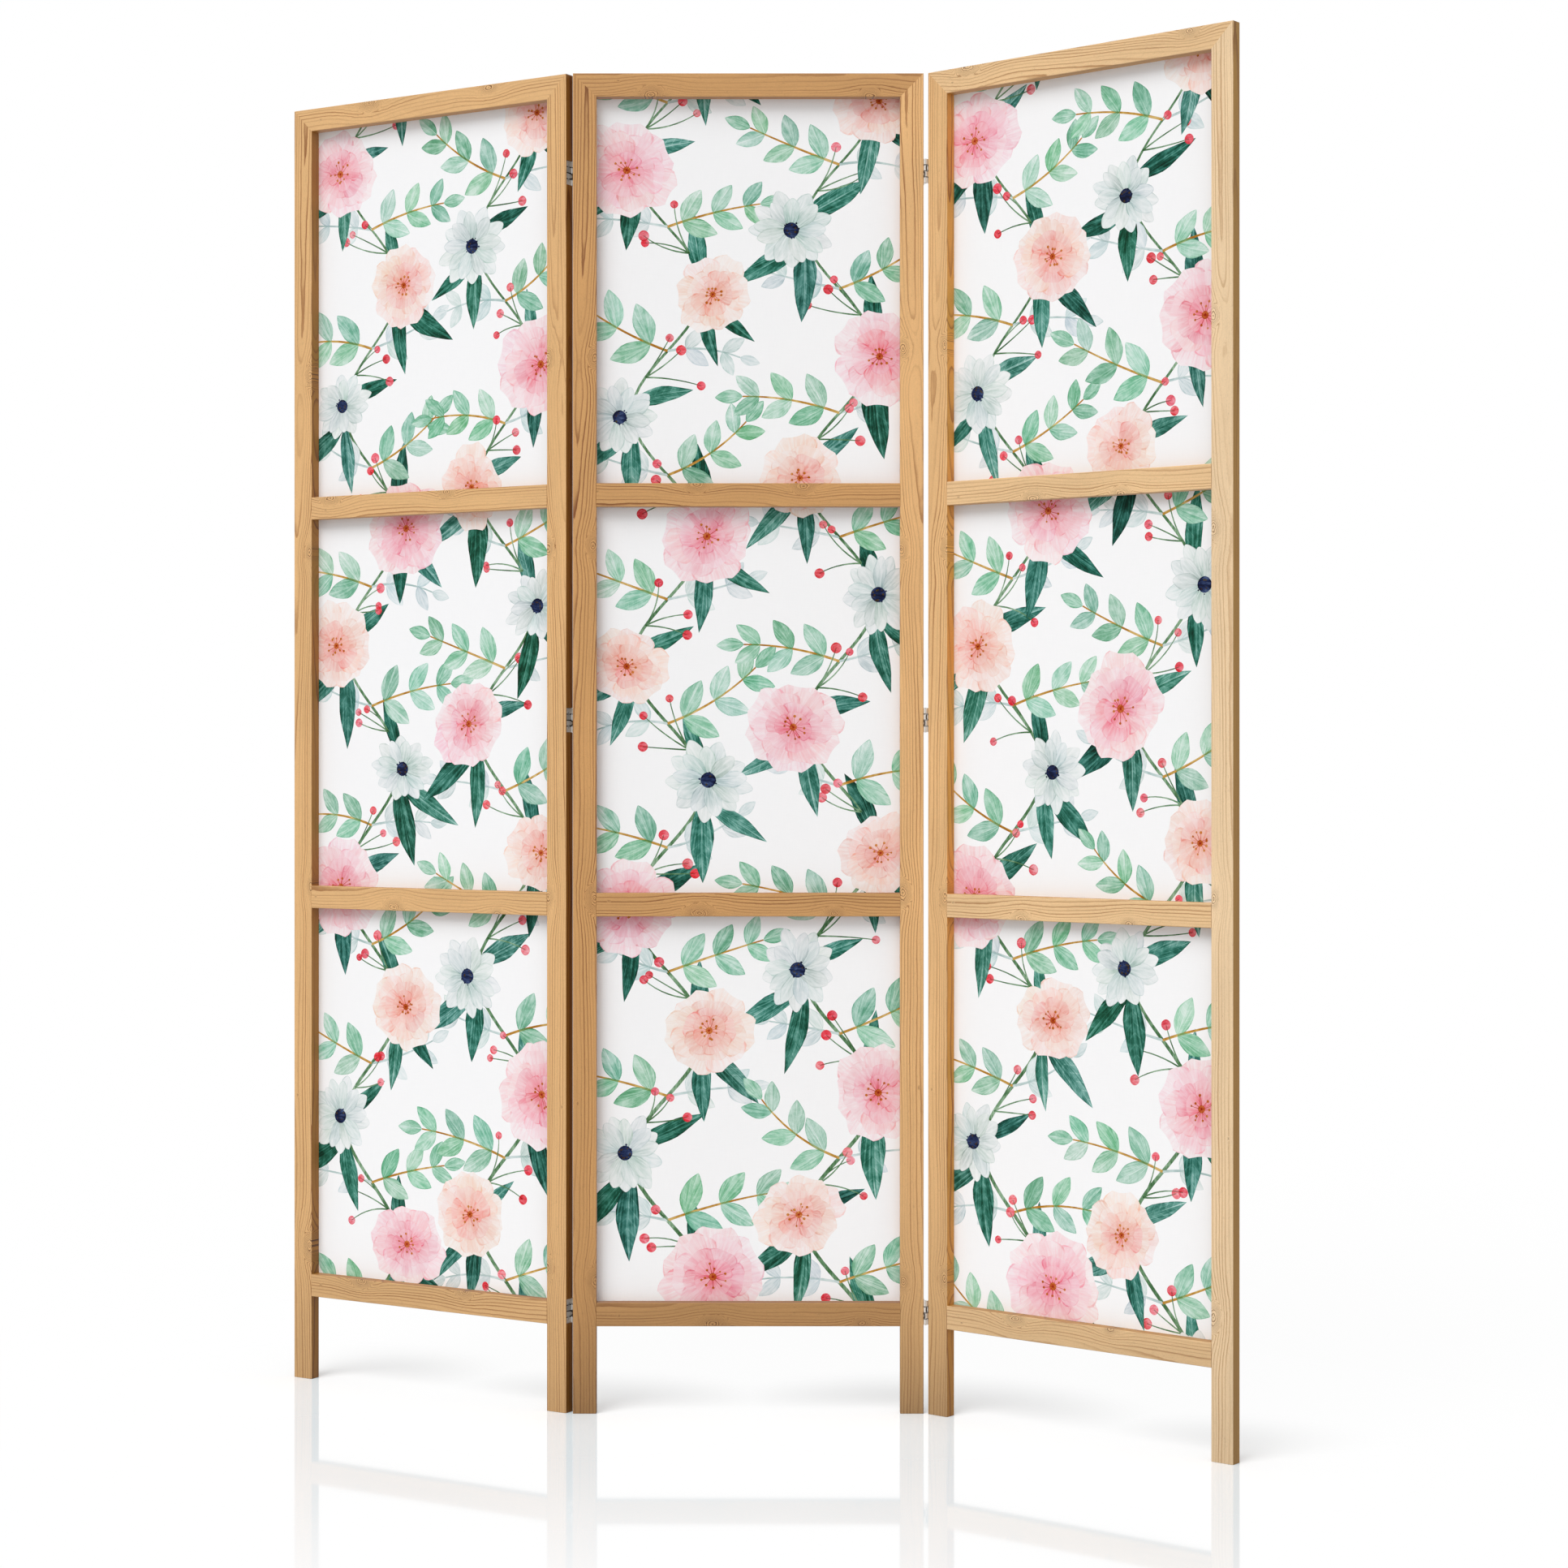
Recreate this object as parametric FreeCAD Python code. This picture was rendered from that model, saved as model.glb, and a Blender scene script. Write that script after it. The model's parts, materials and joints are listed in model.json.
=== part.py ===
import FreeCAD, Part
import math
import os

from FreeCAD import Vector

# Free-standing folding screen of three hinged panels, in millimetres.
# X runs to the right seen from the front, Y runs from front to back and Z is up.
# The origin is on the floor, in the middle of the room that the standing screen takes up.

# Driving dimensions: panel frame
PANEL_WIDTH = 450.0
PANEL_HEIGHT = 1720.0
SLAT_WIDTH = 30.0
SLAT_DEPTH = 16.0
EDGE_CHAMFER = 0.6
LEG_HEIGHT = 112.0

# Driving dimensions: joinery of the frame
TENON_LENGTH = 14.0
TENON_HEIGHT = 20.0
TENON_THICKNESS = 6.0
SPLINE_WIDTH = 20.0
SPLINE_THICKNESS = 4.0
SPLINE_FROM_TIP = 15.2
SPLINE_FROM_OPENING = 7.2
JOINERY_CLEARANCE = 0.1
GLUE_ROOM = 1.0

# Driving dimensions: fabric and the staples that hold it
CANVAS_THICKNESS = 0.5
CANVAS_INSET = 8.0
STAPLE_CROWN = 10.0
STAPLE_LEG = 6.0
STAPLE_WIRE_WIDTH = 1.2
STAPLE_WIRE_DEPTH = 0.6
STAPLE_FROM_OPENING = 16.0
STAPLES_PER_BAY = 4
STAPLES_PER_RAIL = 3

# Driving dimensions: hinges
HINGE_LENGTH = 31.0
HINGE_ABOVE_LEG = 18.0
HINGE_FROM_TOP = 126.0
HINGE_ABOVE_MIDDLE = 30.0
KNUCKLES = 4
KNUCKLE_RADIUS = 2.3
KNUCKLE_GAP = 0.3
PIN_RADIUS = 1.15
PIN_CLEARANCE = 0.05
PIN_PROUD = 0.4
LEAF_WIDTH = 15.5
LEAF_THICKNESS = 1.0
LEAF_CORNER_CUT = 1.5
POCKET_CLEARANCE = 0.2
FOLD_CLEARANCE = 0.2

# Driving dimensions: how the screen stands
LEFT_JOINT_GAP = 0.3
LEFT_FOLD_DEG = 31.0
RIGHT_FOLD_DEG = 39.0

# Worked out from the driving dimensions
BUTTED_RAILS = ("bottom_rail", "lower_rail", "upper_rail")
BAYS = len(BUTTED_RAILS)
OPENING_WIDTH = PANEL_WIDTH - 2 * SLAT_WIDTH
BAY_HEIGHT = (PANEL_HEIGHT - LEG_HEIGHT - (BAYS + 1) * SLAT_WIDTH) / BAYS
RAIL_LEVELS = [LEG_HEIGHT + i * (BAY_HEIGHT + SLAT_WIDTH) for i in range(BAYS + 1)]
TOP_RAIL_LEVEL = RAIL_LEVELS[BAYS]
MITRE_MIDDLE = Vector(SLAT_WIDTH / 2, SLAT_DEPTH / 2, PANEL_HEIGHT - SLAT_WIDTH / 2)
MITRE_LENGTH = math.hypot(SLAT_WIDTH, SLAT_WIDTH)
SPLINE_LENGTH = MITRE_LENGTH - SPLINE_FROM_TIP - SPLINE_FROM_OPENING
SPLINE_SHIFT = (SPLINE_FROM_TIP - SPLINE_FROM_OPENING) / 2
HINGE_LEVELS = {
    "bottom": LEG_HEIGHT + HINGE_ABOVE_LEG,
    "middle": PANEL_HEIGHT / 2 + HINGE_ABOVE_MIDDLE,
    "top": PANEL_HEIGHT - HINGE_FROM_TOP,
}

# A leaf's back is level with the side of the barrel. At the right joint the leaves lie on the stiles'
# edges, which the barrel holds apart. At the left joint they are let into pockets, so the edges close up,
# and the pin is as near the backs as the fabric and staples of the folded panels allow.
RIGHT_JOINT_GAP = 2 * KNUCKLE_RADIUS
LEFT_PIN_OUT = CANVAS_THICKNESS + STAPLE_WIRE_DEPTH + FOLD_CLEARANCE
POCKET_DEPTH = KNUCKLE_RADIUS - LEFT_JOINT_GAP / 2
POCKET_REACH = LEAF_WIDTH - LEFT_PIN_OUT + POCKET_CLEARANCE
LEFT_STEP = Vector(-PANEL_WIDTH - LEFT_JOINT_GAP, 0, 0)
RIGHT_STEP = Vector(PANEL_WIDTH + RIGHT_JOINT_GAP, 0, 0)
LEFT_PIN = Vector(-LEFT_JOINT_GAP / 2, SLAT_DEPTH + LEFT_PIN_OUT, 0)
RIGHT_PIN = Vector(PANEL_WIDTH + RIGHT_JOINT_GAP / 2, -KNUCKLE_RADIUS, 0)

ORIGIN = Vector(0, 0, 0)
ALONG_X = Vector(1, 0, 0)
ALONG_Y = Vector(0, 1, 0)
UP = Vector(0, 0, 1)


def moved(shape, offset):
    """A copy of the shape, shifted by a vector."""
    copy = shape.copy()
    copy.translate(offset)
    return copy


def turned(shape, centre, axis, degrees):
    """A copy of the shape, turned about an axis through the centre."""
    copy = shape.copy()
    copy.rotate(centre, axis, degrees)
    return copy


def centred_box(length, depth, height, middle):
    """A box about a middle point."""
    return Part.makeBox(length, depth, height, middle - Vector(length, depth, height) * 0.5)


def edges_along(shape, axis):
    """The straight edges of a box that run along an axis."""
    return [e for e in shape.Edges if abs(e.tangentAt(e.FirstParameter).dot(axis)) > 0.99]


def eased_slat(length, depth, height, axis):
    """A planed slat whose long edges are broken with a small chamfer."""
    block = Part.makeBox(length, depth, height)
    return block.makeChamfer(EDGE_CHAMFER, edges_along(block, axis))


def mitre_waste():
    """The corner wedge above the mitre of the left stile, across the whole depth."""
    corners = (
        Vector(0, 0, PANEL_HEIGHT),
        Vector(SLAT_WIDTH, 0, PANEL_HEIGHT),
        Vector(SLAT_WIDTH, 0, PANEL_HEIGHT - SLAT_WIDTH),
    )
    outline = Part.makePolygon(corners + corners[:1])
    return Part.Face(outline).extrude(ALONG_Y * SLAT_DEPTH)


def mitre_spline(clearance):
    """The loose spline across the left mitre, or with a clearance the slot that it sits in."""
    blank = centred_box(
        SPLINE_LENGTH + 2 * clearance,
        SPLINE_THICKNESS + 2 * clearance,
        SPLINE_WIDTH + 2 * clearance,
        MITRE_MIDDLE + ALONG_X * SPLINE_SHIFT,
    )
    return turned(blank, MITRE_MIDDLE, ALONG_Y, 45)


def other_end(shape):
    """The same piece at the panel's right-hand end. The pieces are alike front and back."""
    return turned(shape, Vector(PANEL_WIDTH / 2, SLAT_DEPTH / 2, 0), UP, 180)


def left_stile():
    """The upright at the panel's left: foot, mortises for the butted rails and a mitred top."""
    stile = eased_slat(SLAT_WIDTH, SLAT_DEPTH, PANEL_HEIGHT, UP)
    cuts = [mitre_waste(), mitre_spline(JOINERY_CLEARANCE)]
    depth = TENON_LENGTH + GLUE_ROOM
    thickness = TENON_THICKNESS + 2 * JOINERY_CLEARANCE
    height = TENON_HEIGHT + 2 * JOINERY_CLEARANCE
    for level in RAIL_LEVELS[:BAYS]:
        middle = Vector(SLAT_WIDTH - depth / 2, SLAT_DEPTH / 2, level + SLAT_WIDTH / 2)
        cuts.append(centred_box(depth, thickness, height, middle))
    return stile.cut(cuts)


def top_rail():
    """The rail between the two mitres."""
    rail = eased_slat(PANEL_WIDTH, SLAT_DEPTH, SLAT_WIDTH, ALONG_X)
    rail.translate(UP * TOP_RAIL_LEVEL)
    waste = turned(mitre_waste(), MITRE_MIDDLE, ALONG_Y, 180)
    cuts = [waste, mitre_spline(JOINERY_CLEARANCE)]
    return rail.cut(cuts + [other_end(cut) for cut in cuts])


def butted_rail(level):
    """A rail between the stiles, with a stub tenon at each end."""
    rail = eased_slat(OPENING_WIDTH, SLAT_DEPTH, SLAT_WIDTH, ALONG_X)
    rail.translate(Vector(SLAT_WIDTH, 0, level))
    middle = Vector(PANEL_WIDTH / 2, SLAT_DEPTH / 2, level + SLAT_WIDTH / 2)
    tenons = centred_box(OPENING_WIDTH + 2 * TENON_LENGTH, TENON_THICKNESS, TENON_HEIGHT, middle)
    return rail.fuse(tenons)


def canvas():
    """The fabric, one sheet on the back of the frame."""
    width = PANEL_WIDTH - 2 * CANVAS_INSET
    height = PANEL_HEIGHT - LEG_HEIGHT - 2 * CANVAS_INSET
    corner = Vector(CANVAS_INSET, SLAT_DEPTH, LEG_HEIGHT + CANVAS_INSET)
    return Part.makeBox(width, CANVAS_THICKNESS, height, corner)


def staple(spot, along):
    """A driven staple: its crown lies on the canvas along a direction, its legs are in the wood."""
    half = along * (STAPLE_CROWN / 2)
    inner = along * (STAPLE_CROWN / 2 - STAPLE_WIRE_DEPTH)
    crown = Vector(spot.x, SLAT_DEPTH + CANVAS_THICKNESS + STAPLE_WIRE_DEPTH, spot.z)
    under = crown - ALONG_Y * STAPLE_WIRE_DEPTH
    tips = crown - ALONG_Y * STAPLE_LEG
    corners = (
        crown - half,
        crown + half,
        tips + half,
        tips + inner,
        under + inner,
        under - inner,
        tips - inner,
        tips - half,
    )
    across = along.cross(ALONG_Y) * STAPLE_WIRE_WIDTH
    outline = Part.makePolygon(corners + corners[:1])
    bar = Part.Face(outline).extrude(across)
    return moved(bar, across * -0.5)


def spread(count, start, length):
    """Evenly spaced places along a stretch, half a step in from its ends."""
    return [start + (i + 0.5) * length / count for i in range(count)]


def staples():
    """The staples of one panel: rows along both stiles and along the rails."""
    inset = SLAT_WIDTH - STAPLE_FROM_OPENING
    group = []
    for level in RAIL_LEVELS[:BAYS]:
        for z in spread(STAPLES_PER_BAY, level + SLAT_WIDTH, BAY_HEIGHT):
            group.append(staple(Vector(inset, 0, z), UP))
            group.append(staple(Vector(PANEL_WIDTH - inset, 0, z), UP))
    rows = [level + SLAT_WIDTH / 2 for level in RAIL_LEVELS]
    rows[0] = LEG_HEIGHT + inset
    rows[BAYS] = PANEL_HEIGHT - inset
    for z in rows:
        for x in spread(STAPLES_PER_RAIL, SLAT_WIDTH, OPENING_WIDTH):
            group.append(staple(Vector(x, 0, z), ALONG_X))
    return Part.makeCompound(group)


def panel_pieces():
    """The frame, canvas and fixings of one panel, from its front left foot."""
    stile = left_stile()
    spline = mitre_spline(0.0)
    pieces = {
        "left_stile": stile,
        "right_stile": other_end(stile),
        "top_rail": top_rail(),
        "mitre_splines": Part.makeCompound([spline, other_end(spline)]),
        "canvas": canvas(),
        "staples": staples(),
    }
    for name, level in zip(BUTTED_RAILS, RAIL_LEVELS):
        pieces[name] = butted_rail(level)
    return pieces


def hinge_pockets(start):
    """Room for the left joint's leaves in the edge of a stile, from x at start, and open to the back."""
    length = HINGE_LENGTH + 2 * POCKET_CLEARANCE
    middle = Vector(start + POCKET_DEPTH / 2, SLAT_DEPTH - POCKET_REACH / 2, 0)
    levels = HINGE_LEVELS.values()
    return [centred_box(POCKET_DEPTH, POCKET_REACH, length, middle + UP * level) for level in levels]


def hinge_leaf():
    """A leaf with the pin axis on Z: its plate runs towards +Y and its back is on the wood at +X."""
    face = KNUCKLE_RADIUS - LEAF_THICKNESS
    root = KNUCKLE_RADIUS + KNUCKLE_GAP
    foot = -HINGE_LENGTH / 2
    width = LEAF_WIDTH - root
    plate = Part.makeBox(LEAF_THICKNESS, width, HINGE_LENGTH, Vector(face, root, foot))
    middle = root + width / 2
    free_corners = [e for e in edges_along(plate, ALONG_X) if e.CenterOfMass.y > middle]
    leaf = plate.makeChamfer(LEAF_CORNER_CUT, free_corners)
    pitch = HINGE_LENGTH / KNUCKLES
    length = pitch - KNUCKLE_GAP
    for row in range(1, KNUCKLES, 2):
        start = Vector(0, 0, foot + row * pitch + KNUCKLE_GAP / 2)
        barrel = Part.makeCylinder(KNUCKLE_RADIUS, length, start, UP)
        web = Part.makeBox(LEAF_THICKNESS, middle, length, start + ALONG_X * face)
        leaf = leaf.fuse([barrel, web])
    bore = Part.makeCylinder(PIN_RADIUS + PIN_CLEARANCE, HINGE_LENGTH, UP * foot, UP)
    return leaf.cut(bore).removeSplitter()


def hinge_pin():
    """The pin, a little proud of the barrel at both ends."""
    length = HINGE_LENGTH + 2 * PIN_PROUD
    return Part.makeCylinder(PIN_RADIUS, length, UP * (-length / 2), UP)


def hinge_pieces(pin, facing_deg):
    """The hinges of one joint, about the pin's place in the centre panel's frame.

    The outer leaf goes on the swinging panel. The inner leaf is the same leaf turned end for end.
    """
    outer = hinge_leaf()
    parts = {
        "outer_leaf": outer,
        "inner_leaf": turned(outer, ORIGIN, ALONG_Y, 180),
        "pin": hinge_pin(),
    }
    pieces = {}
    for level_name, level in HINGE_LEVELS.items():
        for part_name, shape in parts.items():
            facing = turned(shape, ORIGIN, UP, facing_deg)
            pieces[level_name + "_" + part_name] = moved(facing, pin + UP * level)
    return pieces


def standing_screen():
    """Every piece by node name, folded as the screen stands, in the centre panel's frame."""
    panel = panel_pieces()
    centre = dict(panel, left_stile=panel["left_stile"].cut(hinge_pockets(0)))
    left = dict(panel, right_stile=panel["right_stile"].cut(hinge_pockets(PANEL_WIDTH - POCKET_DEPTH)))
    pieces = {"centre_panel_" + name: shape for name, shape in centre.items()}
    sides = {
        "left": (left, LEFT_PIN, LEFT_FOLD_DEG, LEFT_STEP, 180),
        "right": (panel, RIGHT_PIN, RIGHT_FOLD_DEG, RIGHT_STEP, 0),
    }
    for side, (panel_shapes, pin, fold, step, facing) in sides.items():
        for name, shape in panel_shapes.items():
            pieces[side + "_panel_" + name] = turned(moved(shape, step), pin, UP, -fold)
        for name, shape in hinge_pieces(pin, facing).items():
            swing = fold if name.endswith("outer_leaf") else 0.0
            pieces[side + "_hinge_" + name] = turned(shape, pin, UP, -swing)
    return pieces


def footprint_middle(pieces):
    """The middle of the standing screen's footprint."""
    outline = Part.makeCompound([s for name, s in pieces.items() if name.endswith("stile")])
    box = outline.optimalBoundingBox(False, False)
    return Vector((box.XMin + box.XMax) / 2, (box.YMin + box.YMax) / 2, 0)


def main():
    os.makedirs("parts", exist_ok=True)
    pieces = standing_screen()
    middle = footprint_middle(pieces)
    for name, shape in sorted(pieces.items()):
        node = moved(shape, middle * -1)
        node.exportStep(os.path.join("parts", name + ".step"))
        if not node.isValid():
            print(name, "is not a valid shape")
    for side, pin in (("left", LEFT_PIN), ("right", RIGHT_PIN)):
        axis = pin - middle
        print("%s pin axis at x %.4f, y %.4f" % (side, axis.x, axis.y))
    print("centre panel's front left foot at x %.4f, y %.4f" % (-middle.x, -middle.y))
    print("pieces:", len(pieces))


main()
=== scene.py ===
import json
import math
import random
from collections import namedtuple
from functools import partial, reduce

import bmesh
import bpy
import numpy as np
from mathutils import Matrix, Vector
from mathutils.geometry import delaunay_2d_cdt


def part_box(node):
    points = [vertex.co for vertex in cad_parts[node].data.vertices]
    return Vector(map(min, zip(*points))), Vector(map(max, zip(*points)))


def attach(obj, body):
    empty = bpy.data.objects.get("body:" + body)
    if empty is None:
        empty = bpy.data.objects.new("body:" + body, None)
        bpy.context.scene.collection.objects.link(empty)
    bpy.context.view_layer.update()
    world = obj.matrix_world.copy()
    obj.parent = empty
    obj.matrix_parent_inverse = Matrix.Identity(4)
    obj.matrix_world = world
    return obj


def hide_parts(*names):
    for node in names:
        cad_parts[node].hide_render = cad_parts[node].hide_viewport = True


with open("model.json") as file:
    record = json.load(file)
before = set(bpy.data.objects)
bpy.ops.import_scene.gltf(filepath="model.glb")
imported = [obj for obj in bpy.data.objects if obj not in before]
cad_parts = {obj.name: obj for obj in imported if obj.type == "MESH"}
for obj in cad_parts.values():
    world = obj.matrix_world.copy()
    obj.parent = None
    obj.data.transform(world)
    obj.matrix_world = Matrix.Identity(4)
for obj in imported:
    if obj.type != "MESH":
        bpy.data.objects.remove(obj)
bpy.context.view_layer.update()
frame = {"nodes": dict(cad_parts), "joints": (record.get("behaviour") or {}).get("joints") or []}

# A folding screen of three pine panels with a floral canvas on each, hung on butt hinges.
# Lengths are metres in the row frame, unless a name says that they are millimetres.

MM = 0.001

# The photograph's camera, which looks straight along +Y from in front.
PHOTO_SIZE_PX = 1932
FOCAL_PX = 3784
HORIZON_PX = 929.3
CAMERA_FROM_FOOT = Vector((0.2709, -3.9408, 0.8462))
SENSOR_MM = 36

# The frame's own sizes, read from the centre panel, which stands square to the row.
STILE_LOW, STILE_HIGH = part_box("centre_panel_left_stile")
SLAT_WIDTH = STILE_HIGH.x - STILE_LOW.x
SLAT_DEPTH = STILE_HIGH.y - STILE_LOW.y
PANEL_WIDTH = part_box("centre_panel_right_stile")[1].x - STILE_LOW.x
CANVAS_LOW, CANVAS_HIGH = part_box("centre_panel_canvas")
CANVAS_WIDTH = CANVAS_HIGH.x - CANVAS_LOW.x
CANVAS_HEIGHT = CANVAS_HIGH.z - CANVAS_LOW.z
CANVAS_THICKNESS = CANVAS_HIGH.y - CANVAS_LOW.y

PANELS = ("left_panel", "centre_panel", "right_panel")
RAILS = ("top_rail", "upper_rail", "lower_rail", "bottom_rail")
HINGE_LEVELS = ("bottom", "middle", "top")


def side_of(joint):
    """The side of the centre panel that a joint is on, which begins the names of its hinges."""
    return joint["name"].split("_")[0]


def swing_at_rest(joint):
    """The turn about a joint's pin, from in line with the centre panel to where the panel stands."""
    pin = Vector(joint["pos_m"])
    swing = Matrix.Rotation(math.radians(joint["range_deg"][0]), 4, "Z")
    return Matrix.Translation(pin) @ swing @ Matrix.Translation(-pin)


def panel_places():
    """Each panel's own frame: x across its front, y to its back, and its front left foot as the origin."""
    places = {"centre_panel": Matrix.Translation(STILE_LOW)}
    for joint in frame["joints"]:
        pin_x = joint["pos_m"][0]
        left = pin_x < STILE_LOW.x
        near_edge = STILE_LOW.x if left else STILE_LOW.x + PANEL_WIDTH
        step = 2 * (pin_x - near_edge) + (-PANEL_WIDTH if left else PANEL_WIDTH)
        in_line = Matrix.Translation(STILE_LOW + Vector((step, 0, 0)))
        places[joint["child"]] = swing_at_rest(joint) @ in_line
    return places


PLACES = panel_places()


# Node arithmetic for the materials


class Field:
    """A value that a material works out at each point of a surface. Arithmetic on it adds Math nodes."""

    def __init__(self, socket):
        self.socket = socket
        self.tree = socket.id_data

    def __add__(self, other):
        return calculated("ADD", self, other)

    def __sub__(self, other):
        return calculated("SUBTRACT", self, other)

    def __rsub__(self, other):
        return calculated("SUBTRACT", other, self)

    def __mul__(self, other):
        return calculated("MULTIPLY", self, other)

    def __truediv__(self, other):
        return calculated("DIVIDE", self, other)

    def __pow__(self, other):
        return calculated("POWER", self, other)

    def __abs__(self):
        return calculated("ABSOLUTE", self)

    __radd__ = __add__
    __rmul__ = __mul__


def feed(socket, value):
    if isinstance(value, Field):
        value.tree.links.new(value.socket, socket)
    else:
        socket.default_value = value


def calculated(operation, *values):
    tree = next(value.tree for value in values if isinstance(value, Field))
    node = tree.nodes.new("ShaderNodeMath")
    node.operation = operation
    for socket, value in zip(node.inputs, values):
        feed(socket, value)
    return Field(node.outputs[0])


def greatest(*values):
    return reduce(partial(calculated, "MAXIMUM"), values)


def least(*values):
    return reduce(partial(calculated, "MINIMUM"), values)


def step_between(low, high, value):
    """0 below low, 1 above high, and a smooth rise between."""
    node = value.tree.nodes.new("ShaderNodeMapRange")
    node.interpolation_type = "SMOOTHSTEP"
    feed(node.inputs["Value"], value)
    feed(node.inputs["From Min"], low)
    feed(node.inputs["From Max"], high)
    return Field(node.outputs["Result"])


def combined(tree, x, y, z):
    node = tree.nodes.new("ShaderNodeCombineXYZ")
    for socket, value in zip(node.inputs, (x, y, z)):
        feed(socket, value)
    return Field(node.outputs[0])


def separated(vector):
    node = vector.tree.nodes.new("ShaderNodeSeparateXYZ")
    feed(node.inputs[0], vector)
    return [Field(output) for output in node.outputs]


def noise(x, y, z, detail=2.0, roughness=0.5):
    """Soft noise from 0 to 1, with features about one unit wide."""
    tree = next(value.tree for value in (x, y, z) if isinstance(value, Field))
    node = tree.nodes.new("ShaderNodeTexNoise")
    feed(node.inputs["Vector"], combined(tree, x, y, z))
    node.inputs["Scale"].default_value = 1
    node.inputs["Detail"].default_value = detail
    node.inputs["Roughness"].default_value = roughness
    return Field(node.outputs["Fac"])


def mixed(factor, first, second, blend="MIX"):
    node = factor.tree.nodes.new("ShaderNodeMix")
    node.data_type = "RGBA"
    node.blend_type = blend
    node.clamp_factor = True
    feed(node.inputs[0], factor)
    feed(node.inputs[6], first)
    feed(node.inputs[7], second)
    return Field(node.outputs[2])


def multiplied(first, second):
    """A colour times another colour, or times one value."""
    node = first.tree.nodes.new("ShaderNodeVectorMath")
    node.operation = "MULTIPLY"
    feed(node.inputs[0], first)
    feed(node.inputs[1], second)
    return Field(node.outputs[0])


def attribute(tree, name, output="Vector"):
    node = tree.nodes.new("ShaderNodeAttribute")
    node.attribute_name = name
    return Field(node.outputs[output])


def srgb(red, green, blue):
    """A colour as a picture shows it, from 0 to 255, in the linear values that shaders use."""
    def linear(level):
        share = level / 255
        return share / 12.92 if share <= 0.04045 else ((share + 0.055) / 1.055) ** 2.4
    return (linear(red), linear(green), linear(blue), 1.0)


def new_material(name):
    material = bpy.data.materials.new(name)
    material.use_nodes = True
    material.node_tree.nodes.clear()
    return material


def coat_surface(material, colour, roughness, height=None, relief=0.0, metallic=0.0, specular=0.5):
    """Ends a material in one Principled shader, with height in millimetres as its bump."""
    tree = material.node_tree
    shader = tree.nodes.new("ShaderNodeBsdfPrincipled")
    output = tree.nodes.new("ShaderNodeOutputMaterial")
    feed(shader.inputs["Base Color"], colour)
    feed(shader.inputs["Roughness"], roughness)
    shader.inputs["Metallic"].default_value = metallic
    shader.inputs["Specular IOR Level"].default_value = specular
    if height is not None:
        bump = tree.nodes.new("ShaderNodeBump")
        bump.inputs["Strength"].default_value = relief
        bump.inputs["Distance"].default_value = MM
        feed(bump.inputs["Height"], height)
        tree.links.new(bump.outputs[0], shader.inputs["Normal"])
    tree.links.new(shader.outputs[0], output.inputs["Surface"])
    return material


def local_mm(tree, place, turn):
    """Coordinates at rest in millimetres, from place and turned with a panel."""
    coordinates = tree.nodes.new("ShaderNodeTexCoord")
    mapping = tree.nodes.new("ShaderNodeMapping")
    mapping.vector_type = "TEXTURE"
    mapping.inputs["Location"].default_value = place
    mapping.inputs["Rotation"].default_value = (0, 0, turn)
    mapping.inputs["Scale"].default_value = (MM, MM, MM)
    tree.links.new(coordinates.outputs["Object"], mapping.inputs["Vector"])
    return separated(Field(mapping.outputs[0]))


def facing(tree, direction):
    """How squarely a surface faces along a direction, as the part stands, from 0 to 1."""
    coordinates = tree.nodes.new("ShaderNodeTexCoord")
    node = tree.nodes.new("ShaderNodeVectorMath")
    node.operation = "DOT_PRODUCT"
    node.inputs[1].default_value = direction
    tree.links.new(coordinates.outputs["Normal"], node.inputs[0])
    return abs(Field(node.outputs["Value"]))


def dressed(node, material):
    mesh = frame["nodes"][node].data
    mesh.materials.clear()
    mesh.materials.append(material)


# Pine

# A knot's place along and across its slat, its radius, and how far it pushes the grain, in millimetres.
Knot = namedtuple("Knot", "along across radius push")

# Where the heart of the tree runs beside a slat, in millimetres: across it and how far behind its middle,
# before and after the stretch where it nears the face, and that stretch.
Heart = namedtuple("Heart", "across_low across_high deep_low deep_high rise_from rise_to")

# How light a stick of pine is beside the rest, how deep its colour, how much painted shade darkens it
# towards the floor, and how light its narrow sides stay under the painted shade that darkens them.
Stick = namedtuple("Stick", "tone depth foot edge")

PINE_LIGHT = (226, 181, 126)
PINE_DARK = (156, 104, 57)
PINE_KNOT = (104, 63, 31)
# How far up from the floor the painted shade on the wood reaches, in millimetres.
FOOT_SHADE_MM = 170
RING_MM = 3.2
KNOT_RING_MM = 2.2

# Painted shade on the narrow sides: what they keep of the face's red, green and blue.
PINE_SIDE_SHADE = (0.62, 0.44, 0.15)


def pine_colour(level, stick):
    return [stick.tone * share ** stick.depth for share in srgb(*level)[:3]] + [1.0]


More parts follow.
